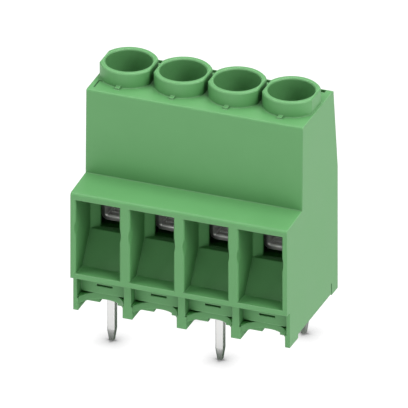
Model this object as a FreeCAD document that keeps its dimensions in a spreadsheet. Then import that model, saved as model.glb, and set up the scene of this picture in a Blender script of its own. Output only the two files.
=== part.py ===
"""Four-pole screw terminal block for a circuit board, with rising clamp sleeves.

Frame: +X along the row of poles, +Y towards the rear, +Z up. The origin lies on the
board's surface, in the middle of the zigzag pattern of solder pins. Inside each body,
y is measured back from the face with the wire entries, and the body's Placement then
moves it to the origin. All lengths are in millimetres.
"""
import FreeCAD, Part
import os
import re
import Sketcher

SHEET = "Dims"

# Driving dimensions: alias, value, what it measures.
DIMENSIONS = [
    ("poles", 4, "number of poles in the row"),
    ("pitch", 7.62, "from one pole's centre to the next"),
    ("row_gap", 10.8, "between the front and the rear row of solder pins"),
    ("front_row", 5.43, "front row of pins, back from the wire face"),
    # Outline of the housing, seen from the side.
    ("body_depth", 18.67, "wire face to rear wall"),
    ("rail_bottom", 5.23, "underside of the rail below the wire entries"),
    ("shelf_front", 17.83, "height of the shelf's front edge"),
    ("shelf_back", 18.11, "height of the shelf where the tower rises"),
    ("shelf_depth", 5.63, "wire face to the foot of the tower"),
    ("tower_lean", 0.23, "how far the tower's front wall leans back"),
    ("tower_top", 30.37, "height of the tower's flat top"),
    ("top_back", 17.12, "wire face to the rear edge of the flat top"),
    ("knee_height", 18.45, "height where the rear wall starts to lean"),
    ("base_gap", 0.56, "board to the housing's underside"),
    ("rear_gap", 0.28, "board to the rear wall's lower edge"),
    ("rear_skirt", 2.2, "depth of the lower strip along the rear wall"),
    ("slit_width", 0.27, "slit in each side wall in front of that strip"),
    ("slit_top", 2.05, "height of the slit's upper end"),
    ("slit_depth", 0.6, "how deep the slit goes into the side wall"),
    ("shelf_round", 0.4, "rounding of the shelf's front edge"),
    ("edge_round", 0.25, "rounding of the other long edges"),
    # Feet, ribs and the panel behind them.
    ("foot_setback", 1.07, "wire face to the front of the feet"),
    ("wall_face", 4.16, "wire face to the wall behind the feet"),
    ("wall_thick", 0.75, "thickness of that wall below the underside"),
    ("foot_width", 1.36, "width of an inner foot"),
    ("foot_height", 1.79, "height of a foot's wide part"),
    ("rib_width", 1.0, "width of the rib above a foot"),
    ("panel_face", 2.68, "wire face to the panel between the ribs"),
    ("panel_bottom", 2.15, "lower edge of that panel"),
    ("slot_width", 2.2, "width of the coding slot in the panel"),
    ("slot_bottom", 3.2, "lower edge of the coding slot"),
    ("slot_height", 0.3, "height of the coding slot"),
    ("slot_depth", 0.35, "depth of the coding slot"),
    ("web_bottom", 0.88, "underside of the arched web"),
    ("web_thick", 1.02, "thickness of the arched web"),
    ("arch_radius", 3.29, "radius of the web's hollow front edge"),
    ("arch_centre", 0.31, "wire face to the centre of that arc"),
    ("notch_width", 2.49, "width of the notch in the wall"),
    ("notch_height", 0.68, "height of the notch above the board"),
    # Wire entry of one pole.
    ("entry_width", 6.16, "width of the entry"),
    ("entry_bottom", 5.95, "height of the entry's floor"),
    ("entry_top", 16.91, "height of the entry's ceiling"),
    ("ledge_depth", 2.5, "depth of the level floor before the ramp"),
    ("ramp_end", 5.43, "wire face to the top of the ramp"),
    ("sill_height", 10.1, "height of the sill behind the ramp"),
    ("window_face", 6.45, "wire face to the window"),
    ("window_width", 3.8, "width of the window in front of the clamp"),
    ("mouth_bevel", 0.2, "bevel along the two upright edges of the entry"),
    ("cone_radius", 3.3, "radius of the funnel at the wire face"),
    ("cone_height", 12.7, "height of the funnel's centre"),
    ("cone_depth", 2.2, "depth of the funnel"),
    ("cone_end", 2.9, "radius of the funnel's end"),
    # Clamp chamber, screw passage and driver guide.
    ("chamber_face", 7.9, "wire face to the front of the clamp chamber"),
    ("screw_axis", 11.63, "wire face to the screw's axis"),
    ("sleeve_play", 0.12, "clearance round the sleeve"),
    ("sleeve_lift", 3.0, "travel of the sleeve"),
    ("stop_play", 0.3, "clearance above and below the sleeve"),
    ("shoulder", 1.2, "thickness of the wall that carries the screw's head"),
    ("passage_play", 0.2, "clearance round the screw's shank in that wall"),
    ("head_room", 0.2, "clearance round the screw's head and above it"),
    ("guide_radius", 3.12, "radius of the driver guide"),
    ("collar_radius", 3.88, "outer radius of the collar"),
    ("collar_height", 2.2, "height of the collar above the tower"),
    ("collar_flat", 7.04, "width of the collar over its two flats"),
    ("rim_bevel", 0.17, "bevel along the collar's rim"),
    ("nub_width", 0.64, "width of the nub in front of each collar"),
    ("nub_reach", 0.65, "how far the nub stands out from the collar"),
    ("nub_height", 0.25, "height of the nub"),
    # Groove for a marker strip along the rear of the top.
    ("groove_front", 16.17, "wire face to the marker groove"),
    ("groove_width", 0.69, "width of the marker groove"),
    ("groove_depth", 1.0, "depth of the marker groove"),
    ("groove_margin", 0.92, "side wall to the end of the marker groove"),
    # Clamp sleeve.
    ("sleeve_width", 5.9, "outer width of the sleeve"),
    ("sleeve_depth", 4.66, "depth of the sleeve along the wire"),
    ("sleeve_bottom", 9.6, "height of the open sleeve's underside"),
    ("sleeve_wall", 0.7, "thickness of the sleeve's sides and floor"),
    ("sleeve_roof", 0.9, "thickness of the sleeve's threaded roof"),
    ("sleeve_corner", 0.85, "outer radius of the sleeve's corners"),
    ("wire_gap", 4.0, "open height between sleeve floor and contact bar"),
    ("thread_play", 0.04, "clearance round the shank in the sleeve's roof"),
    ("lip_chamfer", 0.18, "bevel round the sleeve's mouth"),
    ("tooth_depth", 0.22, "depth of the grip grooves in the sleeve's floor"),
    ("tooth_step", 0.9, "from one grip groove to the next"),
    ("tooth_gaps", 3, "number of gaps between grip grooves"),
    # Contact bar.
    ("bar_thick", 1.0, "thickness of the contact bar"),
    ("bar_width", 4.0, "width of the contact bar"),
    ("bar_play", 0.3, "gap between the sleeve's roof and the contact bar"),
    ("seat_play", 0.05, "clearance of the contact bar in its slot"),
    ("pin_width", 1.05, "width of the solder pin"),
    ("pin_length", 6.0, "length of the solder pin below the board's surface"),
    ("pin_taper", 1.8, "length of the pin's tapered tip"),
    ("pin_tip", 0.6, "width of the pin's end"),
    ("leg_bottom", 1.0, "height of the underside of the leg to a front pin"),
    # Clamp screw.
    ("shank_radius", 1.5, "radius of the threaded shank"),
    ("head_radius", 2.75, "radius of the cheese head"),
    ("head_height", 2.0, "height of the head"),
    ("drive_width", 0.8, "width of the driver slot"),
    ("drive_depth", 1.1, "depth of the driver slot"),
    ("head_play", 0.05, "clearance under the head"),
    ("tip_play", 0.1, "clearance between the screw's tip and the contact bar"),
    ("screw_bevel", 0.3, "bevel of the screw's head and tip"),
]

# Heights that follow from the stack of clamp parts.
FLOOR_TOP = "(sleeve_bottom + sleeve_wall)"
BAR_BOTTOM = f"({FLOOR_TOP} + wire_gap)"
BAR_TOP = f"({BAR_BOTTOM} + bar_thick)"
ROOF_BOTTOM = f"({BAR_TOP} + bar_play)"
SLEEVE_TOP = f"({ROOF_BOTTOM} + sleeve_roof)"
CHAMBER_BOTTOM = "(sleeve_bottom - 3 * stop_play)"
CHAMBER_TOP = f"({SLEEVE_TOP} + sleeve_lift + stop_play)"
HEAD_SEAT = f"({CHAMBER_TOP} + shoulder)"
GUIDE_FLOOR = f"({HEAD_SEAT} + head_play + head_height + head_room)"
RIM = "(tower_top + collar_height)"
CHAMBER_WIDTH = "(sleeve_width + 2 * sleeve_play)"
REAR_ROW = "(front_row + row_gap)"
BAR_BACK = f"({REAR_ROW} + bar_thick / 2)"
FIRST_POLE = "(-(poles - 1) * pitch / 2)"
ROW_END = "(poles * pitch / 2)"
BEYOND = 5.0

doc = FreeCAD.newDocument("ScrewTerminal")
sheet = doc.addObject("Spreadsheet::Sheet", SHEET)
for row, (alias, value, note) in enumerate(DIMENSIONS, start=1):
    sheet.set(f"A{row}", alias)
    sheet.set(f"B{row}", str(value))
    sheet.set(f"C{row}", note)
    sheet.setAlias(f"B{row}", alias)
doc.recompute()


def expand(formula):
    """Write the sheet's name before every alias in a formula."""
    return re.sub(r"[a-z_]+", lambda word: f"{SHEET}.{word.group(0)}", str(formula))


def number(formula):
    """The value of a formula, in millimetres."""
    result = sheet.evalExpression(expand(formula))
    return float(getattr(result, "Value", result))


def bind(obj, **formulas):
    """Bind properties to formulas; a double underscore stands for a dot."""
    for name, formula in formulas.items():
        obj.setExpression(name.replace("__", "."), expand(formula))


def new_body(label, x="0"):
    """An empty body at its pole, with the wire face at its own y = 0."""
    body = doc.addObject("PartDesign::Body", label)
    body.Label = label
    bind(body, Placement__Base__x=x, Placement__Base__y="-(front_row + row_gap / 2)")
    return body


def origin_part(body, role):
    return next(part for part in body.Origin.OriginFeatures if part.Role == role)


def new_sketch(body, name, plane, offset):
    sketch = body.newObject("Sketcher::SketchObject", name)
    sketch.AttachmentSupport = [(origin_part(body, plane), "")]
    sketch.MapMode = "FlatFace"
    bind(sketch, AttachmentOffset__Base__z=offset)
    return sketch


def pin_point(sketch, curve, end, across, up):
    """Hold one point of a curve at two bound distances from the sketch's origin."""
    for kind, formula in (("DistanceX", across), ("DistanceY", up)):
        where = Sketcher.Constraint(kind, -1, 1, curve, end, number(formula))
        index = sketch.addConstraint(where)
        sketch.setExpression(f"Constraints[{index}]", expand(formula))


def polygon(body, name, plane, corners, offset="0"):
    """A closed outline through corners that are formulas."""
    sketch = new_sketch(body, name, plane, offset)
    spots = [FreeCAD.Vector(number(a), number(b), 0) for a, b in corners]
    count = len(spots)
    for i in range(count):
        sketch.addGeometry(Part.LineSegment(spots[i], spots[(i + 1) % count]))
    for i in range(count):
        sketch.addConstraint(Sketcher.Constraint("Coincident", i, 2, (i + 1) % count, 1))
        pin_point(sketch, i, 1, *corners[i])
    return sketch


def rectangle(body, name, plane, left, right, low, high, offset="0"):
    corners = [(left, low), (right, low), (right, high), (left, high)]
    return polygon(body, name, plane, corners, offset)


def extrude(body, kind, sketch, length, reverse=False, both=False):
    """Pad or Pocket a sketch by a bound length, and check that it changed the body."""
    before = body.Shape.Volume if body.Tip else 0.0
    feature = body.newObject(f"PartDesign::{kind}", f"{sketch.Name}{kind}")
    feature.Profile = sketch
    feature.SideType = "Symmetric" if both else "One side"
    feature.Reversed = reverse
    bind(feature, Length=length)
    doc.recompute()
    if abs(body.Shape.Volume - before) < 1e-6:
        raise RuntimeError(f"{feature.Name} changes nothing")
    return feature


def solid(body, kind, name, turn=None, at=("0", "0", "0"), **sizes):
    """An additive or subtractive primitive at a bound place."""
    feature = body.newObject(f"PartDesign::{kind}", name)
    feature.Refine = False
    feature.AttachmentSupport = [(origin_part(body, "XY_Plane"), "")]
    feature.MapMode = "FlatFace"
    if turn:
        feature.AttachmentOffset = FreeCAD.Placement(FreeCAD.Vector(), turn)
    names = ("AttachmentOffset__Base__x", "AttachmentOffset__Base__y", "AttachmentOffset__Base__z")
    bind(feature, **dict(zip(names, at)), **sizes)
    return feature


def block(body, kind, name, x, y, z):
    """A box between pairs of formulas."""
    spans = [f"({high}) - ({low})" for low, high in (x, y, z)]
    sizes = dict(zip(("Length", "Width", "Height"), spans))
    return solid(body, f"{kind}Box", name, at=(x[0], y[0], z[0]), **sizes)


def repeat(body, feature, gaps, step="pitch", axis="X_Axis"):
    """Repeat a feature along an axis: one copy more than there are gaps."""
    pattern = body.newObject("PartDesign::LinearPattern", f"{feature.Name}Row")
    pattern.Originals = [feature]
    pattern.Direction = (origin_part(body, axis), [""])
    pattern.Refine = False
    bind(pattern, Length=f"{step} * ({gaps})", Occurrences=f"{gaps} + 1")
    body.Tip = pattern
    doc.recompute()
    return pattern


def dress(body, kind, name, wanted, **sizes):
    """Fillet or Chamfer every edge of the body that the test wants."""
    base = body.Tip
    edges = [f"Edge{i}" for i, edge in enumerate(base.Shape.Edges, start=1) if wanted(edge)]
    feature = body.newObject(f"PartDesign::{kind}", name)
    feature.Base = (base, edges)
    bind(feature, **sizes)
    body.Tip = feature
    doc.recompute()
    return feature


def near(a, b, slack=0.01):
    return abs(a - b) < slack


def lies_at(edge, **places):
    """True where every point of the edge has the given coordinates."""
    box = edge.BoundBox
    lows = {"x": box.XMin, "y": box.YMin, "z": box.ZMin}
    highs = {"x": box.XMax, "y": box.YMax, "z": box.ZMax}
    return all(near(lows[k], v) and near(highs[k], v) for k, v in places.items())


def about(centre, width):
    """The two ends of a width that is centred on a formula."""
    return f"{centre} - {width} / 2", f"{centre} + {width} / 2"


def build_housing():
    """The moulded housing: side outline, feet, wire entries, chambers and collars."""
    body = new_body("housing")
    tower_front = "shelf_depth + tower_lean"
    outline = [
        ("0", "rail_bottom"),
        ("0", "shelf_front"),
        ("shelf_depth", "shelf_back"),
        (tower_front, "tower_top"),
        ("top_back", "tower_top"),
        ("body_depth", "knee_height"),
        ("body_depth", "rear_gap"),
        ("body_depth - rear_skirt", "rear_gap"),
        ("body_depth - rear_skirt", "base_gap"),
        ("wall_face", "base_gap"),
        ("wall_face", "panel_bottom"),
        ("panel_face", "panel_bottom"),
        ("panel_face", "rail_bottom"),
    ]
    side = polygon(body, "SideOutline", "YZ_Plane", outline)
    extrude(body, "Pad", side, "poles * pitch", both=True)
    for name, corners, radius in (("ShelfEdge", outline[1:2], "shelf_round"),
                                  ("LongEdges", outline[3:6], "edge_round")):
        places = [(number(y), number(z)) for y, z in corners]
        dress(
            body, "Fillet", name,
            lambda edge: any(lies_at(edge, y=y, z=z) for y, z in places),
            Radius=radius,
        )
    skirt_front = "(body_depth - rear_skirt)"
    for name, x in (("SlitLeft", (f"-{ROW_END}", f"-{ROW_END} + slit_depth")),
                    ("SlitRight", (f"{ROW_END} - slit_depth", ROW_END))):
        block(
            body, "Subtractive", name, x,
            (f"{skirt_front} - slit_width", skirt_front), ("base_gap", "slit_top"),
        )

    # Arched web between the feet.
    web = block(
        body, "Additive", "Web",
        (FIRST_POLE + " - pitch / 2", FIRST_POLE + " + pitch / 2"),
        ("foot_setback + 0.3", "wall_face"), ("web_bottom", "web_bottom + web_thick"),
    )
    repeat(body, web, "(poles - 1)")
    arch = solid(
        body, "SubtractiveCylinder", "Arch",
        at=(FIRST_POLE, "arch_centre", "web_bottom - 0.2"),
        Radius="arch_radius", Height="panel_bottom - web_bottom + 0.2",
    )
    repeat(body, arch, "(poles - 1)")

    # Feet with their ribs, one at each pole's boundary, trimmed flush at both ends.
    foot_outline = [
        (f"-{ROW_END} - foot_width / 2", "0"),
        (f"-{ROW_END} + foot_width / 2", "0"),
        (f"-{ROW_END} + foot_width / 2", "foot_height"),
        (f"-{ROW_END} + rib_width / 2", "foot_height"),
        (f"-{ROW_END} + rib_width / 2", "rail_bottom"),
        (f"-{ROW_END} - rib_width / 2", "rail_bottom"),
        (f"-{ROW_END} - rib_width / 2", "foot_height"),
        (f"-{ROW_END} - foot_width / 2", "foot_height"),
    ]
    foot = polygon(body, "FootOutline", "XZ_Plane", foot_outline, "-foot_setback")
    foot_pad = extrude(body, "Pad", foot, "wall_face - foot_setback", reverse=True)
    repeat(body, foot_pad, "poles")
    wall = block(
        body, "Additive", "Wall",
        (f"-{ROW_END} + foot_width / 4", f"{ROW_END} - foot_width / 4"),
        ("wall_face", "wall_face + wall_thick"), ("0", "base_gap"),
    )
    for side_name, x in (("TrimLeft", (f"-{ROW_END} - {BEYOND}", f"-{ROW_END}")),
                         ("TrimRight", (ROW_END, f"{ROW_END} + {BEYOND}"))):
        block(body, "Subtractive", side_name, x, ("0", "wall_face"), ("0", "rail_bottom"))

    # Notch for the pin and coding slot, below each wire entry.
    notch = block(
        body, "Subtractive", "Notch", about(FIRST_POLE, "notch_width"),
        ("wall_face", "wall_face + wall_thick"), ("0", "notch_height"),
    )
    repeat(body, notch, "(poles - 1)")
    slot = block(
        body, "Subtractive", "CodingSlot", about(FIRST_POLE, "slot_width"),
        ("panel_face", "panel_face + slot_depth"),
        ("slot_bottom", "slot_bottom + slot_height"),
    )
    repeat(body, slot, "(poles - 1)")

    # Wire entry: level ledge, ramp and sill, then cheeks that close in to the window.
    entry_outline = [
        ("0", "entry_bottom"),
        ("ledge_depth", "entry_bottom"),
        ("ramp_end", "sill_height"),
        ("ramp_end", "entry_top"),
        ("0", "entry_top"),
    ]
    entry = polygon(body, "EntryOutline", "YZ_Plane", entry_outline, FIRST_POLE)
    entry_cut = extrude(body, "Pocket", entry, "entry_width", both=True)
    repeat(body, entry_cut, "(poles - 1)")
    throat = solid(
        body, "SubtractiveWedge", "Throat", at=(FIRST_POLE, "0", "0"),
        Xmin="-entry_width / 2", Xmax="entry_width / 2",
        Ymin="ramp_end", Ymax="window_face",
        Zmin="sill_height", Zmax="entry_top",
        X2min="-window_width / 2", X2max="window_width / 2",
        Z2min="sill_height", Z2max="entry_top",
    )
    repeat(body, throat, "(poles - 1)")
    mouth = solid(
        body, "SubtractiveWedge", "Mouth", at=(FIRST_POLE, "0", "0"),
        Xmin="-entry_width / 2 - mouth_bevel", Xmax="entry_width / 2 + mouth_bevel",
        Ymin="0", Ymax="mouth_bevel",
        Zmin="entry_bottom", Zmax="entry_top",
        X2min="-entry_width / 2", X2max="entry_width / 2",
        Z2min="entry_bottom", Z2max="entry_top",
    )
    repeat(body, mouth, "(poles - 1)")
    funnel = solid(
        body, "SubtractiveCone", "Funnel",
        turn=FreeCAD.Rotation(FreeCAD.Vector(1, 0, 0), -90),
        at=(FIRST_POLE, "0", "cone_height"),
        Radius1="cone_radius", Radius2="cone_end", Height="cone_depth",
    )
    repeat(body, funnel, "(poles - 1)")

    # Clamp chamber with the slots for the contact bar, open to the underside.
    lobby = block(
        body, "Subtractive", "Lobby", about(FIRST_POLE, CHAMBER_WIDTH),
        ("window_face", "chamber_face"), (CHAMBER_BOTTOM, "entry_top"),
    )
    repeat(body, lobby, "(poles - 1)")
    chamber = block(
        body, "Subtractive", "Chamber", about(FIRST_POLE, CHAMBER_WIDTH),
        ("chamber_face", f"{BAR_BACK} + seat_play"), (CHAMBER_BOTTOM, CHAMBER_TOP),
    )
    repeat(body, chamber, "(poles - 1)")
    bar_slot = block(
        body, "Subtractive", "BarSlot",
        about(FIRST_POLE, "(bar_width + 2 * seat_play)"),
        (f"{BAR_BACK} - bar_thick - seat_play", f"{BAR_BACK} + seat_play"),
        ("0", CHAMBER_BOTTOM),
    )
    repeat(body, bar_slot, "(poles - 1)")
    leg_slot = block(
        body, "Subtractive", "LegSlot",
        about(FIRST_POLE, "(pin_width + 2 * seat_play)"),
        ("front_row - bar_thick / 2 - seat_play", BAR_BACK),
        ("0", "leg_bottom + bar_thick + seat_play"),
    )
    repeat(body, leg_slot, "(poles - 1)")

    # Collars with flats towards their neighbours, driver guides and screw passages.
    collar = solid(
        body, "AdditiveCylinder", "Collar",
        at=(FIRST_POLE, "screw_axis", "tower_top"),
        Radius="collar_radius", Height="collar_height",
    )
    repeat(body, collar, "(poles - 1)")
    nub = block(
        body, "Additive", "Nub", about(FIRST_POLE, "nub_width"),
        ("screw_axis - collar_radius - nub_reach", "screw_axis - collar_radius + 0.3"),
        ("tower_top - 0.5", "tower_top + nub_height"),
    )
    repeat(body, nub, "(poles - 1)")
    flat = block(
        body, "Subtractive", "CollarFlat", about(f"-{ROW_END}", "(pitch - collar_flat)"),
        ("screw_axis - collar_radius", "screw_axis + collar_radius"),
        ("tower_top", f"{RIM} + 1"),
    )
    repeat(body, flat, "poles")
    guide = solid(
        body, "SubtractiveCylinder", "DriverGuide", at=(FIRST_POLE, "screw_axis", GUIDE_FLOOR),
        Radius="guide_radius", Height=f"{RIM} + 1 - {GUIDE_FLOOR}",
    )
    repeat(body, guide, "(poles - 1)")
    head_pocket = solid(
        body, "SubtractiveCylinder", "HeadPocket", at=(FIRST_POLE, "screw_axis", HEAD_SEAT),
        Radius="head_radius + head_room", Height=f"{GUIDE_FLOOR} - {HEAD_SEAT}",
    )
    repeat(body, head_pocket, "(poles - 1)")
    passage = solid(
        body, "SubtractiveCylinder", "ScrewPassage",
        at=(FIRST_POLE, "screw_axis", CHAMBER_TOP),
        Radius="shank_radius + passage_play", Height="shoulder",
    )
    repeat(body, passage, "(poles - 1)")
    dress(
        body, "Chamfer", "Rims", lambda edge: lies_at(edge, z=number(RIM)),
        Size="rim_bevel",
    )

    # Groove for a marker strip.
    groove = rectangle(
        body, "MarkerGroove", "XY_Plane",
        f"-{ROW_END} + groove_margin", f"{ROW_END} - groove_margin",
        "groove_front", "groove_front + groove_width", "tower_top",
    )
    extrude(body, "Pocket", groove, "groove_depth")
    return body


def pole_centre(index):
    return f"{FIRST_POLE} + pitch * {index}"


def build_sleeve(index):
    """A folded metal sleeve round the wire, open to the front and the rear."""
    body = new_body(f"clamp_sleeve_{index + 1}", pole_centre(index))
    front = "screw_axis - sleeve_depth / 2"
    outer = rectangle(
        body, f"SleeveOuter{index}", "XZ_Plane", "-sleeve_width / 2", "sleeve_width / 2",
        "sleeve_bottom", SLEEVE_TOP, f"-({front})",
    )
    extrude(body, "Pad", outer, "sleeve_depth", reverse=True)
    dress(
        body, "Fillet", f"SleeveCorners{index}",
        lambda edge: near(edge.Length, number("sleeve_depth")),
        Radius="sleeve_corner",
    )
    inner_x = "(sleeve_width / 2 - sleeve_wall)"
    inner = rectangle(
        body, f"SleeveInner{index}", "XZ_Plane", f"-{inner_x}", inner_x,
        FLOOR_TOP, ROOF_BOTTOM, f"-({front})",
    )
    extrude(body, "Pocket", inner, "sleeve_depth")
    dress(
        body, "Fillet", f"SleeveInside{index}",
        lambda edge: near(edge.Length, number("sleeve_depth"))
        and near(abs(edge.BoundBox.Center.x), number(inner_x)),
        Radius="sleeve_corner - sleeve_wall",
    )
    mouth = number(inner_x) + 0.01
    low, high = number(FLOOR_TOP) - 0.01, number(ROOF_BOTTOM) + 0.01
    dress(
        body, "Chamfer", f"SleeveLip{index}",
        lambda edge: near(edge.BoundBox.YLength, 0)
        and abs(edge.BoundBox.XMin) < mouth and abs(edge.BoundBox.XMax) < mouth
        and edge.BoundBox.ZMin > low and edge.BoundBox.ZMax < high,
        Size="lip_chamfer",
    )
    first_tooth = "(screw_axis - tooth_gaps * tooth_step / 2)"
    tooth = polygon(body, f"GripTooth{index}", "YZ_Plane", [
        (f"{first_tooth} - tooth_depth", FLOOR_TOP),
        (first_tooth, f"{FLOOR_TOP} - tooth_depth"),
        (f"{first_tooth} + tooth_depth", FLOOR_TOP),
    ])
    tooth_cut = extrude(body, "Pocket", tooth, f"2 * ({inner_x} - sleeve_wall / 2)", both=True)
    repeat(body, tooth_cut, "tooth_gaps", step="tooth_step", axis="Y_Axis")
    hole = solid(
        body, "SubtractiveCylinder", f"SleeveThread{index}",
        at=("0", "screw_axis", ROOF_BOTTOM),
        Radius="shank_radius + thread_play", Height=f"{SLEEVE_TOP} - {ROOF_BOTTOM}",
    )
    body.Tip = hole
    return body


def build_bar(index):
    """A stamped contact bar, bent into a tongue, a rear plate and a solder pin.

    Poles alternate between a pin in the front row, at the end of a leg that runs
    forward under the chamber, and a pin in the rear row, straight below the plate.
    """
    body = new_body(f"contact_bar_{index + 1}", pole_centre(index))
    to_front = index % 2 == 0
    plate_front = f"({BAR_BACK} - bar_thick)"
    tongue_front = "(screw_axis - sleeve_depth / 2 + 0.4)"
    plate_foot = "(leg_bottom + 2 * bar_thick)"
    upper_outline = [
        (tongue_front, BAR_BOTTOM),
        (plate_front, BAR_BOTTOM),
        (plate_front, plate_foot),
        (BAR_BACK, plate_foot),
        (BAR_BACK, BAR_TOP),
        (tongue_front, BAR_TOP),
    ]
    upper = polygon(body, f"BarUpper{index}", "YZ_Plane", upper_outline)
    extrude(body, "Pad", upper, "bar_width", both=True)
    row_y = "front_row" if to_front else REAR_ROW
    pin_front, pin_back = f"({row_y} - bar_thick / 2)", f"({row_y} + bar_thick / 2)"
    if to_front:
        lower_outline = [
            (pin_front, "-(pin_length - pin_taper)"),
            (pin_back, "-(pin_length - pin_taper)"),
            (pin_back, "leg_bottom"),
            (BAR_BACK, "leg_bottom"),
            (BAR_BACK, plate_foot),
            (plate_front, plate_foot),
            (plate_front, "leg_bottom + bar_thick"),
            (pin_front, "leg_bottom + bar_thick"),
        ]
    else:
        lower_outline = [
            (pin_front, "-(pin_length - pin_taper)"),
            (pin_back, "-(pin_length - pin_taper)"),
            (pin_back, plate_foot),
            (pin_front, plate_foot),
        ]
    lower = polygon(body, f"BarLower{index}", "YZ_Plane", lower_outline)
    extrude(body, "Pad", lower, "pin_width", both=True)
    solid(
        body, "AdditiveWedge", f"PinTip{index}",
        turn=FreeCAD.Rotation(FreeCAD.Vector(1, 0, 0), -90),
        at=("0", row_y, "-(pin_length - pin_taper)"),
        Xmin="-pin_width / 2", Xmax="pin_width / 2",
        Zmin="-bar_thick / 2", Zmax="bar_thick / 2",
        Ymin="0", Ymax="pin_taper",
        X2min="-pin_tip / 2", X2max="pin_tip / 2",
        Z2min="-pin_tip / 2", Z2max="pin_tip / 2",
    )
    doc.recompute()
    dress(
        body, "Fillet", f"PinEnd{index}",
        lambda edge: lies_at(edge, z=-number("pin_length")),
        Radius="pin_tip * 0.35",
    )
    return body


def build_screw(index):
    """A cheese-head screw turned about its axis, with a slot across the head."""
    body = new_body(f"clamp_screw_{index + 1}", pole_centre(index))
    tip = f"({BAR_TOP} + tip_play)"
    seat = f"({HEAD_SEAT} + head_play)"
    head_top = f"({seat} + head_height)"
    half = [
        ("0", tip),
        ("shank_radius - screw_bevel", tip),
        ("shank_radius", f"{tip} + screw_bevel"),
        ("shank_radius", seat),
        ("head_radius", seat),
        ("head_radius", f"{head_top} - screw_bevel"),
        ("head_radius - screw_bevel", head_top),
        ("0", head_top),
    ]
    profile = polygon(body, f"ScrewHalf{index}", "XZ_Plane", half, "-screw_axis")
    turned = body.newObject("PartDesign::Revolution", f"ScrewTurned{index}")
    turned.Profile = profile
    turned.ReferenceAxis = (profile, ["V_Axis"])
    turned.Angle = 360.0
    doc.recompute()
    drive = block(
        body, "Subtractive", f"DriverSlot{index}", about("0", "drive_width"),
        about("screw_axis", "(2 * head_radius + 1)"),
        (f"{head_top} - drive_depth", f"{head_top} + 1"),
    )
    body.Tip = drive
    doc.recompute()
    return body


pieces = [build_housing()]
for pole in range(int(number("poles"))):
    pieces += [build_sleeve(pole), build_bar(pole), build_screw(pole)]
doc.recompute()

broken = [obj.Label for obj in doc.Objects if {"Invalid", "Error"} & set(obj.State)]
if broken:
    raise RuntimeError(f"these objects failed: {broken}")
for piece in pieces:
    shape = piece.Shape
    if shape.isNull() or not shape.isValid() or len(shape.Solids) != 1:
        raise RuntimeError(f"{piece.Label} is not one valid solid")

os.makedirs("parts", exist_ok=True)
for piece in pieces:
    piece.Shape.exportStep(f"parts/{piece.Label}.step")
    print(piece.Label, round(piece.Shape.Volume, 3), piece.Shape.BoundBox)
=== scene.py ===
"""Finishes of a four-pole screw terminal block: moulded plastic, plated metal, studio."""
import math

import bmesh
import bpy
from mathutils import Matrix, Vector


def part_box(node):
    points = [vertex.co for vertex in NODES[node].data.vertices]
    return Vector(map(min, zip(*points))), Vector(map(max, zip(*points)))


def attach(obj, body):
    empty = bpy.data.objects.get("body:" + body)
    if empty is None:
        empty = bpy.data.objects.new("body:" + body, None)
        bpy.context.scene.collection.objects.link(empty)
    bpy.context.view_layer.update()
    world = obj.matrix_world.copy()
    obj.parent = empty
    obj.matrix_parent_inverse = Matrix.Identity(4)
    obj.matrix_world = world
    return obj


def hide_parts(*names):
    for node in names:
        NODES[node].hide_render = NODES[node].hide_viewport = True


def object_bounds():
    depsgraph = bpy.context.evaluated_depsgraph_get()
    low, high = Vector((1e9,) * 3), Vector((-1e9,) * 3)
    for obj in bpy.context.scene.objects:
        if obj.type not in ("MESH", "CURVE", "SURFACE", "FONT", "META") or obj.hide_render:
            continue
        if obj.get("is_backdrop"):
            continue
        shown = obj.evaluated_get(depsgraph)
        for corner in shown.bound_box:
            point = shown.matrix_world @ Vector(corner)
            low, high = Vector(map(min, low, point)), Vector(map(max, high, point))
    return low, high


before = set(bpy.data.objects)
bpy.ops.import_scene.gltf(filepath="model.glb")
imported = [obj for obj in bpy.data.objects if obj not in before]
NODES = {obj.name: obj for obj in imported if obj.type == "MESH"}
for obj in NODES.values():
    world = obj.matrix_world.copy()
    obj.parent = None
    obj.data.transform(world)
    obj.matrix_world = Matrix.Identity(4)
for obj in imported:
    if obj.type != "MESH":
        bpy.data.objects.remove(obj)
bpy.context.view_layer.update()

MM = 0.001
HAIR = 0.01 * MM  # a distance too small to see
POLES = sum(name.startswith("clamp_screw_") for name in NODES)
UP = (0.0, 0.0, 1.0)
WHITE = (1.0, 1.0, 1.0)

# View: parallel, from above the front right corner.
VIEW_AZIMUTH = math.radians(20.974)
VIEW_ELEVATION = math.radians(27.95)
VIEW_WIDTH = 53.61 * MM
VIEW_CENTRE = Vector((0.0, -1.505, 14.465)) * MM
VIEW_DISTANCE = 0.6

# Lights: place and size in metres, power in watts.
LIGHTS = {
    "key": ((0.41, -0.11, 0.439), 0.40, 2.4),
    "top": ((0.0, 0.05, 0.615), 0.45, 2.1),
    "left": ((-0.35, -0.15, 0.47), 0.30, 1.3),
    "front": ((0.05, -0.60, 0.06), 0.25, 0.78),
    "back": ((0.0, 0.40, 0.45), 0.35, 0.75),
    "sheen": ((0.08, -0.54, 0.19), 0.30, 3.0),
}
WORLD_STRENGTH = 0.10

# The light table and its painted shadow, and the card that mirrors see in place of the
# block's shadow: it starts behind the wire face and ends behind the rear wall by these
# distances.
FLOOR_REACH = 4.0
FLOOR_GLOW = 1.12
FLOOR_SHADE = (0.24, 0.24, 0.24)
CARD_GREY = (0.25, 0.26, 0.25)
CARD_FRONT = 3.0 * MM
CARD_BACK = 2.0 * MM

# The clamp screw's head, how far the shank reaches into it, and the M3 thread.
HEAD_HEIGHT = 2.0 * MM
SHANK_OVERLAP = 0.3 * MM
THREAD_PITCH = 0.5 * MM
THREAD_CREST = 1.5 * MM
THREAD_ROOT = 1.2 * MM
ROUND_STEPS = 32
RIDGE_CORNERS = 4

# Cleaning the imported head's mesh: points this near are one, faces this level are flat.
WELD = 0.001 * MM
FLAT_ANGLE = math.radians(1)
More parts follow.
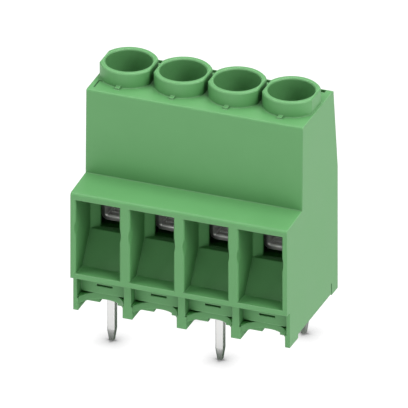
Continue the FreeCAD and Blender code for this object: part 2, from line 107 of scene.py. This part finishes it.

# Painted shade in hollows and crevices, and painted shadow on the floor round the pins: how
# far the material looks round, and the openness at which the painted shade is full and at
# which it is gone.
RECESS = (6.0 * MM, 0.12, 0.78)
CREVICE_SHADE = (1.5 * MM, 0.12, 0.50)
METAL_RECESS = (3.0 * MM, 0.1, 0.9)
FLOOR_CONTACT = (4.5 * MM, 0.60, 1.0)

# Painted light in the driver bores keeps them lighter than the wire entries, fading between
# these depths below the rim.
BORE_LIT = 3.5 * MM
BORE_SHADED = 7.0 * MM
BORE_LIGHT = 0.5

# The painted shade line of a fine groove by the first collar, which is not modelled, from
# the left side and from the wire face.
LINE_X = (0.66 * MM, 1.24 * MM)
LINE_Y = (6.85 * MM, 8.82 * MM)
LINE_WIDTH = 0.13 * MM
LINE_SOFT = 0.6 * LINE_WIDTH

# Moulded plastic. All colours are linear.
GREEN = (0.116, 0.338, 0.119)
GREEN_PALE = (0.130, 0.363, 0.133)
# The next five colours are painted: shade in the depth of hollows, shade in a fine groove,
# shade in crevices, light on up-facing hollows such as the sills, and a highlight on edges.
GREEN_PAINTED_SHADE = (0.030, 0.132, 0.032)
GREEN_GROOVE_SHADE = (0.012, 0.070, 0.014)
GREEN_CREVICE_SHADE = (0.012, 0.090, 0.014)
GREEN_SILL_PAINTED_LIGHT = (0.255, 0.730, 0.255)
GREEN_EDGE_HIGHLIGHT = (0.215, 0.480, 0.215)
GREEN_GLOSS = 0.45
GREEN_ROUNDING = 0.26 * MM
GREEN_ROUGHNESS = 0.40
MOTTLE_SIZE = 4.0 * MM
MOTTLE_ROUGHNESS = 0.10
GRAIN_SIZE = 0.09 * MM
GRAIN_DEPTH = 0.006 * MM
GRAIN_ROUGHNESS = 0.06

# Masks that follow the normal: the cosines at which each one is 0 and 1.
LEVEL = (0.85, 0.98)
# The next three place the painted highlights on edges.
SKYWARD = (0.1, 0.6)
GREEN_HIGHLIGHT_COSINES = (0.995, 0.90)
METAL_HIGHLIGHT_COSINES = (0.98, 0.80)

# How much painted highlight the edges get where they don't face the sky.
SIDEWAYS_HIGHLIGHT = 0.3

# Platings: deep is the painted shade colour in recesses, close to the plating's own tone
# for tin; the drawn lines run along the axis with the small number; the pale edges, a
# painted highlight, are edge_width wide and lose edge_matt of their metallic look.
PLATINGS = {
    "tin_plating": {
        "bright": (0.79, 0.79, 0.78), "dull": (0.71, 0.71, 0.70),
        "deep": (0.76, 0.76, 0.76), "base_roughness": 0.33,
        "along": (1.0, 1.0, 0.05), "edge_width": 0.34 * MM, "edge_matt": 0.0,
    },
    "nickel_plating": {
        "bright": (0.80, 0.80, 0.78), "dull": (0.56, 0.56, 0.54),
        "deep": (0.23, 0.23, 0.23), "base_roughness": 0.28,
        "along": (1.0, 0.05, 1.0), "edge_width": 0.09 * MM, "edge_matt": 0.75,
    },
    "zinc_plating": {
        "bright": (0.60, 0.61, 0.62), "dull": (0.45, 0.46, 0.47),
        "deep": (0.12, 0.12, 0.12), "base_roughness": 0.25,
        "along": (1.0, 0.2, 1.0), "edge_width": 0.08 * MM, "edge_matt": 0.0,
    },
}
# The painted highlight colour of the plated edges.
METAL_EDGE_HIGHLIGHT = (0.95, 0.95, 0.94)
DRAWN_SIZE = 0.05 * MM
DRAWN_DEPTH = 0.003 * MM
DRAWN_ROUGHNESS = 0.08
CLOUD_SIZE = 1.2 * MM
CLOUD_ROUGHNESS = 0.12


class Quantity:
    """A shader socket that takes part in Python arithmetic through Math nodes."""

    def __init__(self, paint, socket):
        self.paint = paint
        self.socket = socket

    def combine(self, operation, first, second):
        values = {0: first, 1: second}
        return self.paint.node("ShaderNodeMath", {"operation": operation}, values)

    def __add__(self, other):
        return self.combine("ADD", self, other)

    def __radd__(self, other):
        return self.combine("ADD", other, self)

    def __rsub__(self, other):
        return self.combine("SUBTRACT", other, self)

    def __mul__(self, other):
        return self.combine("MULTIPLY", self, other)

    def __rmul__(self, other):
        return self.combine("MULTIPLY", other, self)


class Paint:
    """A node material with one Principled shader, filled in by named sockets."""

    def __init__(self, name, **fixed):
        self.material = bpy.data.materials.new(name)
        self.material.use_nodes = True
        self.tree = self.material.node_tree
        self.shader = self.tree.nodes["Principled BSDF"]
        for socket, value in fixed.items():
            self.shader.inputs[socket.replace("_", " ")].default_value = value
        self.place = self.node("ShaderNodeTexCoord", output="Object")

    def node(self, kind, settings=None, values=None, output=0):
        """Add a node, set it up, then give its sockets values or links."""
        node = self.tree.nodes.new(kind)
        for name, value in (settings or {}).items():
            setattr(node, name, value)
        for socket, value in (values or {}).items():
            self.feed(node.inputs[socket], value)
        return Quantity(self, node.outputs[output])

    def feed(self, socket, value):
        """Link a quantity to a socket, or set the socket to a plain value."""
        if isinstance(value, Quantity):
            self.tree.links.new(value.socket, socket)
        else:
            socket.default_value = value

    def blend(self, amount, first, second):
        """Mix two colours: the first where the amount is 0, the second where it is 1."""
        mix = self.tree.nodes.new("ShaderNodeMix")
        mix.data_type = "RGBA"
        sockets = [s for s in mix.inputs if s.enabled]
        self.feed(sockets[0], amount)
        for socket, colour in zip(sockets[1:], (first, second)):
            self.feed(socket, colour if isinstance(colour, Quantity) else (*colour, 1.0))
        return Quantity(self, next(s for s in mix.outputs if s.enabled))

    def noise(self, size, detail, roughness=0.55, place=None):
        """Noise from 0 to 1 whose features are about size metres across."""
        values = {"Vector": place or self.place, "Scale": 1 / size,
                  "Detail": detail, "Roughness": roughness}
        return self.node("ShaderNodeTexNoise", {}, values)

    def stretched(self, scale):
        """Object coordinates scaled by different amounts along the three axes."""
        return self.node("ShaderNodeMapping", {}, {"Vector": self.place, "Scale": scale})

    def along(self, direction):
        """How far a point lies along a direction, in metres."""
        return self.dot(self.place, direction)

    def openness(self, reach, low, high):
        """0 in the depth of a recess, 1 on open faces, over reach metres."""
        seen = self.node("ShaderNodeAmbientOcclusion", {"samples": 16},
                         {"Distance": reach}, output="AO")
        return self.between(seen, low, high)

    def between(self, value, low, high):
        """Goes from 0 to 1 as the value goes from low to high."""
        return self.node("ShaderNodeMapRange", {},
                         {"Value": value, "From Min": low, "From Max": high})

    def band(self, value, low, high, soft):
        """1 between low and high, falling to 0 over the soft margin on both sides."""
        rise = self.between(value, low - soft, low)
        return rise * self.between(value, high + soft, high)

    def dot(self, first, second):
        return self.node("ShaderNodeVectorMath", {"operation": "DOT_PRODUCT"},
                         {0: first, 1: second}, output="Value")

    def normal(self):
        return self.node("ShaderNodeNewGeometry", output="Normal")

    def rounding(self, radius):
        """The normal of a surface whose edges are rounded."""
        return self.node("ShaderNodeBevel", {"samples": 8}, {"Radius": radius})

    def edges(self, rounded, level, sharp):
        """1 along sharp edges, where the rounded normal leaves the face's own."""
        return self.between(self.dot(rounded, self.normal()), level, sharp)

    def facing_up(self):
        return self.between(self.dot(self.normal(), UP), *LEVEL)

    def finish(self, colour, roughness, height, bump_depth, rounded):
        """Feed the shader; height is relief from 0 to 1, bump_depth metres deep."""
        self.feed(self.shader.inputs["Base Color"], colour)
        self.feed(self.shader.inputs["Roughness"], roughness)
        bump = self.node("ShaderNodeBump", {}, {"Height": height, "Distance": bump_depth,
                                                "Normal": rounded})
        self.feed(self.shader.inputs["Normal"], bump)
        return self.material


def corner_groove_shade(paint):
    """Painted shade of a fine L-shaped groove by the first collar, which is not modelled,
    as a mask from 0 to 1.
    """
    left, wire_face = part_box("housing")[0][:2]
    x, y = paint.along((1.0, 0.0, 0.0)), paint.along((0.0, 1.0, 0.0))
    x0, x1 = left + LINE_X[0], left + LINE_X[1]
    y0, y1 = wire_face + LINE_Y[0], wire_face + LINE_Y[1]
    soft = LINE_SOFT
    side = paint.band(x, x0, x0 + LINE_WIDTH, soft) * paint.band(y, y0, y1, soft)
    rear = paint.band(x, x0, x1, soft) * paint.band(y, y1 - LINE_WIDTH, y1, soft)
    return (1.0 - (1.0 - side) * (1.0 - rear)) * paint.facing_up()


def housing_shade(paint):
    """Painted shade: 0 in the depth of the wire entries, 1 on open faces, lifted by painted
    light in the bores.
    """
    open_part = paint.openness(*RECESS)
    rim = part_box("housing")[1][2]
    in_bore = paint.between(paint.along(UP), rim - BORE_SHADED, rim - BORE_LIT)
    return open_part + (1.0 - open_part) * (BORE_LIGHT * in_bore)


def moulded_green():
    """Satin polyamide: faint mottling and a fine eroded mould texture, with painted shade
    in hollows, crevices and a fine groove, painted light on up-facing hollows and in the
    bores, and a painted highlight on edges.
    """
    paint = Paint("moulded_green", Specular_IOR_Level=GREEN_GLOSS)
    mottle = paint.noise(MOTTLE_SIZE, detail=2.0)
    grain = paint.noise(GRAIN_SIZE, detail=2.0, roughness=0.6)
    # Painted shade in the hollows, lifted by painted light in the bores.
    shade = housing_shade(paint)
    rounded = paint.rounding(GREEN_ROUNDING)
    # Painted highlight on the edges, strongest where they face the sky, none in the painted
    # shade.
    upward = paint.between(paint.dot(rounded, UP), *SKYWARD)
    highlight_reach = SIDEWAYS_HIGHLIGHT + (1.0 - SIDEWAYS_HIGHLIGHT) * upward
    green_edge_highlight = paint.edges(rounded, *GREEN_HIGHLIGHT_COSINES) * highlight_reach * shade
    skin = paint.blend(green_edge_highlight, paint.blend(mottle, GREEN, GREEN_PALE), GREEN_EDGE_HIGHLIGHT)
    # Up-facing hollows such as the sills get painted light in place of the painted shade.
    hollow = 1.0 - shade
    deep = paint.blend(hollow * hollow * paint.facing_up(), GREEN_PAINTED_SHADE, GREEN_SILL_PAINTED_LIGHT)
    # Painted shade in narrow crevices.
    crevice_openness = paint.openness(*CREVICE_SHADE)
    colour = paint.blend(crevice_openness, GREEN_CREVICE_SHADE, paint.blend(shade, deep, skin))
    # Painted shade of the fine groove by the first collar.
    colour = paint.blend(corner_groove_shade(paint), colour, GREEN_GROOVE_SHADE)
    roughness = GREEN_ROUGHNESS + MOTTLE_ROUGHNESS * mottle + GRAIN_ROUGHNESS * grain
    return paint.finish(colour, roughness, grain, GRAIN_DEPTH, rounded)


def plated(name, bright, dull, deep, base_roughness, along, edge_width, edge_matt):
    """Plated metal: drawn lines along one direction, cloudy plating, painted shade in
    recesses, and paler edges that are a painted highlight.
    """
    paint = Paint(name)
    lines = paint.noise(DRAWN_SIZE, detail=2.0, roughness=0.6,
                        place=paint.stretched(along))
    cloud = paint.noise(CLOUD_SIZE, detail=3.0)
    # Painted shade in recesses.
    shade = paint.openness(*METAL_RECESS)
    rounded = paint.rounding(edge_width)
    # Painted highlight on the edges, which also makes them less metallic.
    metal_edge_highlight = paint.edges(rounded, *METAL_HIGHLIGHT_COSINES)
    face = paint.blend(shade, deep, paint.blend(cloud, dull, bright))
    colour = paint.blend(metal_edge_highlight, face, METAL_EDGE_HIGHLIGHT)
    paint.feed(paint.shader.inputs["Metallic"], 1.0 - edge_matt * metal_edge_highlight)
    roughness = base_roughness + CLOUD_ROUGHNESS * cloud + DRAWN_ROUGHNESS * lines
    return paint.finish(colour, roughness, lines, DRAWN_DEPTH, rounded)


def floor_material():
    """A light table: an even white glow, with a painted shadow that dims it round what
    stands on it.
    """
    paint = Paint("studio_white", Specular_IOR_Level=0.0, Roughness=1.0,
                  Base_Color=(0.0, 0.0, 0.0, 1.0), Emission_Strength=FLOOR_GLOW)
    # Painted shadow round what stands on the table.
    glow = paint.blend(paint.openness(*FLOOR_CONTACT), FLOOR_SHADE, WHITE)
    paint.feed(paint.shader.inputs["Emission Color"], glow)
    return paint.material


def dress(node, material):
    """Give a CAD node its material."""
    slots = NODES[node].data.materials
    slots.clear()
    slots.append(material)


def thread_tree(material):
    """Geometry nodes for a threaded shank: a plain core with a helical ridge on it."""
    tree = bpy.data.node_groups.new("threaded_shank", "GeometryNodeTree")
    sizes = {}
    for name in ("Root Radius", "Crest Radius", "Pitch", "Length", "Top"):
        socket = tree.interface.new_socket(name, in_out="INPUT",
                                           socket_type="NodeSocketFloat")
        sizes[name] = socket.identifier
    tree.interface.new_socket("Geometry", in_out="OUTPUT",
                              socket_type="NodeSocketGeometry")
    given = tree.nodes.new("NodeGroupInput")
    result = tree.nodes.new("NodeGroupOutput")

    def feed(socket, value):
        if isinstance(value, bpy.types.NodeSocket):
            tree.links.new(value, socket)
        else:
            socket.default_value = value

    def add(kind, settings=None, **values):
        node = tree.nodes.new(kind)
        for name, value in (settings or {}).items():
            setattr(node, name, value)
        for socket, value in values.items():
            feed(node.inputs[socket.replace("_", " ")], value)
        return node

    def maths(operation, first, second):
        node = add("ShaderNodeMath", {"operation": operation})
        for socket, value in zip(node.inputs, (first, second)):
            feed(socket, value)
        return node.outputs[0]

    def lift(geometry, height):
        shift = add("ShaderNodeCombineXYZ", Z=height)
        return add("GeometryNodeTransform", Geometry=geometry,
                   Translation=shift.outputs[0])

    root, crest, pitch, length, top = (given.outputs[name] for name in sizes)
    ridge = maths("SUBTRACT", crest, root)
    run = maths("SUBTRACT", length, pitch)
    helix = add("GeometryNodeCurveSpiral", Resolution=ROUND_STEPS,
                Rotations=maths("DIVIDE", run, pitch),
                Start_Radius=root, End_Radius=root, Height=run)
    upright = add("GeometryNodeSetCurveNormal", {"mode": "Z_UP"}, Curve=helix.outputs[0])
    profile = add("GeometryNodeCurvePrimitiveCircle", Resolution=RIDGE_CORNERS,
                  Radius=ridge)
    sweep = add("GeometryNodeCurveToMesh", Curve=upright.outputs[0],
                Profile_Curve=profile.outputs["Curve"], Fill_Caps=True)
    foot = maths("ADD", maths("SUBTRACT", top, length), maths("MULTIPLY", pitch, 0.5))
    core = add("GeometryNodeMeshCylinder", Vertices=ROUND_STEPS, Radius=root,
               Depth=length)
    middle = maths("SUBTRACT", top, maths("MULTIPLY", length, 0.5))
    both = add("GeometryNodeJoinGeometry")
    for part in (lift(sweep.outputs[0], foot), lift(core.outputs["Mesh"], middle)):
        tree.links.new(part.outputs[0], both.inputs[0])
    real = add("GeometryNodeRealizeInstances", Geometry=both.outputs[0])
    coat = add("GeometryNodeSetMaterial", Geometry=real.outputs[0], Material=material)
    tree.links.new(coat.outputs[0], result.inputs[0])
    return tree, sizes


def build_screw(pole, tree, sizes, material):
    """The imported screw's head on a shank with its real thread, in the screw's place."""
    node = f"clamp_screw_{pole}"
    low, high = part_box(node)
    axis = (low + high) / 2
    seat = high.z - HEAD_HEIGHT
    piece = bpy.data.objects.new(f"threaded_screw_{pole}", bpy.data.meshes.new("shank"))
    bpy.context.collection.objects.link(piece)
    grower = piece.modifiers.new("thread", "NODES")
    grower.node_group = tree
    top = seat + SHANK_OVERLAP
    wanted = {"Root Radius": THREAD_ROOT, "Crest Radius": THREAD_CREST,
              "Pitch": THREAD_PITCH, "Length": top - low.z, "Top": top}
    for name, value in wanted.items():
        grower[sizes[name]] = value
    grown = piece.evaluated_get(bpy.context.evaluated_depsgraph_get())
    shank = bpy.data.meshes.new_from_object(grown)
    piece.modifiers.remove(grower)

    head = bmesh.new()
    head.from_mesh(NODES[node].data)
    bmesh.ops.remove_doubles(head, verts=head.verts, dist=WELD)
    below = [v for v in head.verts if v.co.z < seat - HAIR]
    bmesh.ops.delete(head, geom=below, context="VERTS")
    bmesh.ops.holes_fill(head, edges=[e for e in head.edges if e.is_boundary])
    bmesh.ops.dissolve_limit(head, angle_limit=FLAT_ANGLE, verts=head.verts,
                             edges=head.edges)
    shank.transform(Matrix.Translation((axis.x, axis.y, 0)))
    head.from_mesh(shank)
    mesh = bpy.data.meshes.new(f"threaded_screw_{pole}")
    head.to_mesh(mesh)
    head.free()
    mesh.materials.append(material)
    piece.data = mesh
    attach(piece, node)
    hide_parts(node)


def dress_all():
    """Give every CAD node its material and put the threaded screws in."""
    tin, nickel, zinc = (plated(name, **look) for name, look in PLATINGS.items())
    dress("housing", moulded_green())
    tree, sizes = thread_tree(zinc)
    for pole in range(1, POLES + 1):
        dress(f"clamp_sleeve_{pole}", nickel)
        dress(f"contact_bar_{pole}", tin)
        build_screw(pole, tree, sizes, zinc)


def sheet(name, low, high, z, material):
    """A level rectangle between two corners."""
    mesh = bpy.data.meshes.new(name)
    corners = [(low[0], low[1], z), (high[0], low[1], z),
               (high[0], high[1], z), (low[0], high[1], z)]
    mesh.from_pydata(corners, [], [(0, 1, 2, 3)])
    mesh.materials.append(material)
    flat = bpy.data.objects.new(name, mesh)
    bpy.context.collection.objects.link(flat)
    return flat


def build_floor():
    """The light table, level with the tips of the pins."""
    r = FLOOR_REACH
    floor = sheet("studio_floor", (-r, -r), (r, r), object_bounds()[0][2], floor_material())
    floor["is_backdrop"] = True


def build_card():
    """A dark card under the block that only mirrors see, as its shadow on the table."""
    low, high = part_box("housing")
    paint = Paint("card_grey", Specular_IOR_Level=0.0, Roughness=1.0,
                  Base_Color=(*CARD_GREY, 1.0))
    card = sheet("shade_card", (low[0], low[1] + CARD_FRONT),
                 (high[0], high[1] + CARD_BACK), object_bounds()[0][2] + HAIR,
                 paint.material)
    card.visible_camera = card.visible_diffuse = card.visible_shadow = False
    card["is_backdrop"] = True


def aim(obj, place, target):
    obj.location = place
    obj.rotation_euler = (target - place).to_track_quat("-Z", "Y").to_euler()


def area_light(name, place, size, power):
    """A square light aimed at the middle of the view."""
    data = bpy.data.lights.new(name, "AREA")
    data.shape = "SQUARE"
    data.size = size
    data.energy = power
    light = bpy.data.objects.new(name, data)
    bpy.context.collection.objects.link(light)
    aim(light, Vector(place), VIEW_CENTRE)
    return light


def build_studio():
    """The soft lights and a faint world."""
    world = bpy.data.worlds.new("studio")
    bpy.context.scene.world = world
    world.use_nodes = True
    background = world.node_tree.nodes["Background"]
    background.inputs["Color"].default_value = (*WHITE, 1.0)
    background.inputs["Strength"].default_value = WORLD_STRENGTH
    lights = {name: area_light(name, *light) for name, light in LIGHTS.items()}
    # The sheen is for the clamp sleeves alone, which lie deep behind the entries.
    sleeves = bpy.data.collections.new("lit_sleeves")
    for pole in range(1, POLES + 1):
        sleeves.objects.link(NODES[f"clamp_sleeve_{pole}"])
    lights["sheen"].light_linking.receiver_collection = sleeves
    bpy.context.scene.view_settings.view_transform = "Standard"


def build_camera():
    """A parallel view at the photo's angle."""
    data = bpy.data.cameras.new("camera")
    data.type = "ORTHO"
    data.ortho_scale = VIEW_WIDTH
    camera = bpy.data.objects.new("camera", data)
    bpy.context.collection.objects.link(camera)
    back = Vector((
        math.sin(VIEW_AZIMUTH) * math.cos(VIEW_ELEVATION),
        -math.cos(VIEW_AZIMUTH) * math.cos(VIEW_ELEVATION),
        math.sin(VIEW_ELEVATION),
    ))
    aim(camera, VIEW_CENTRE + back * VIEW_DISTANCE, VIEW_CENTRE)
    bpy.context.scene.camera = camera


dress_all()
build_floor()
build_card()
build_studio()
build_camera()
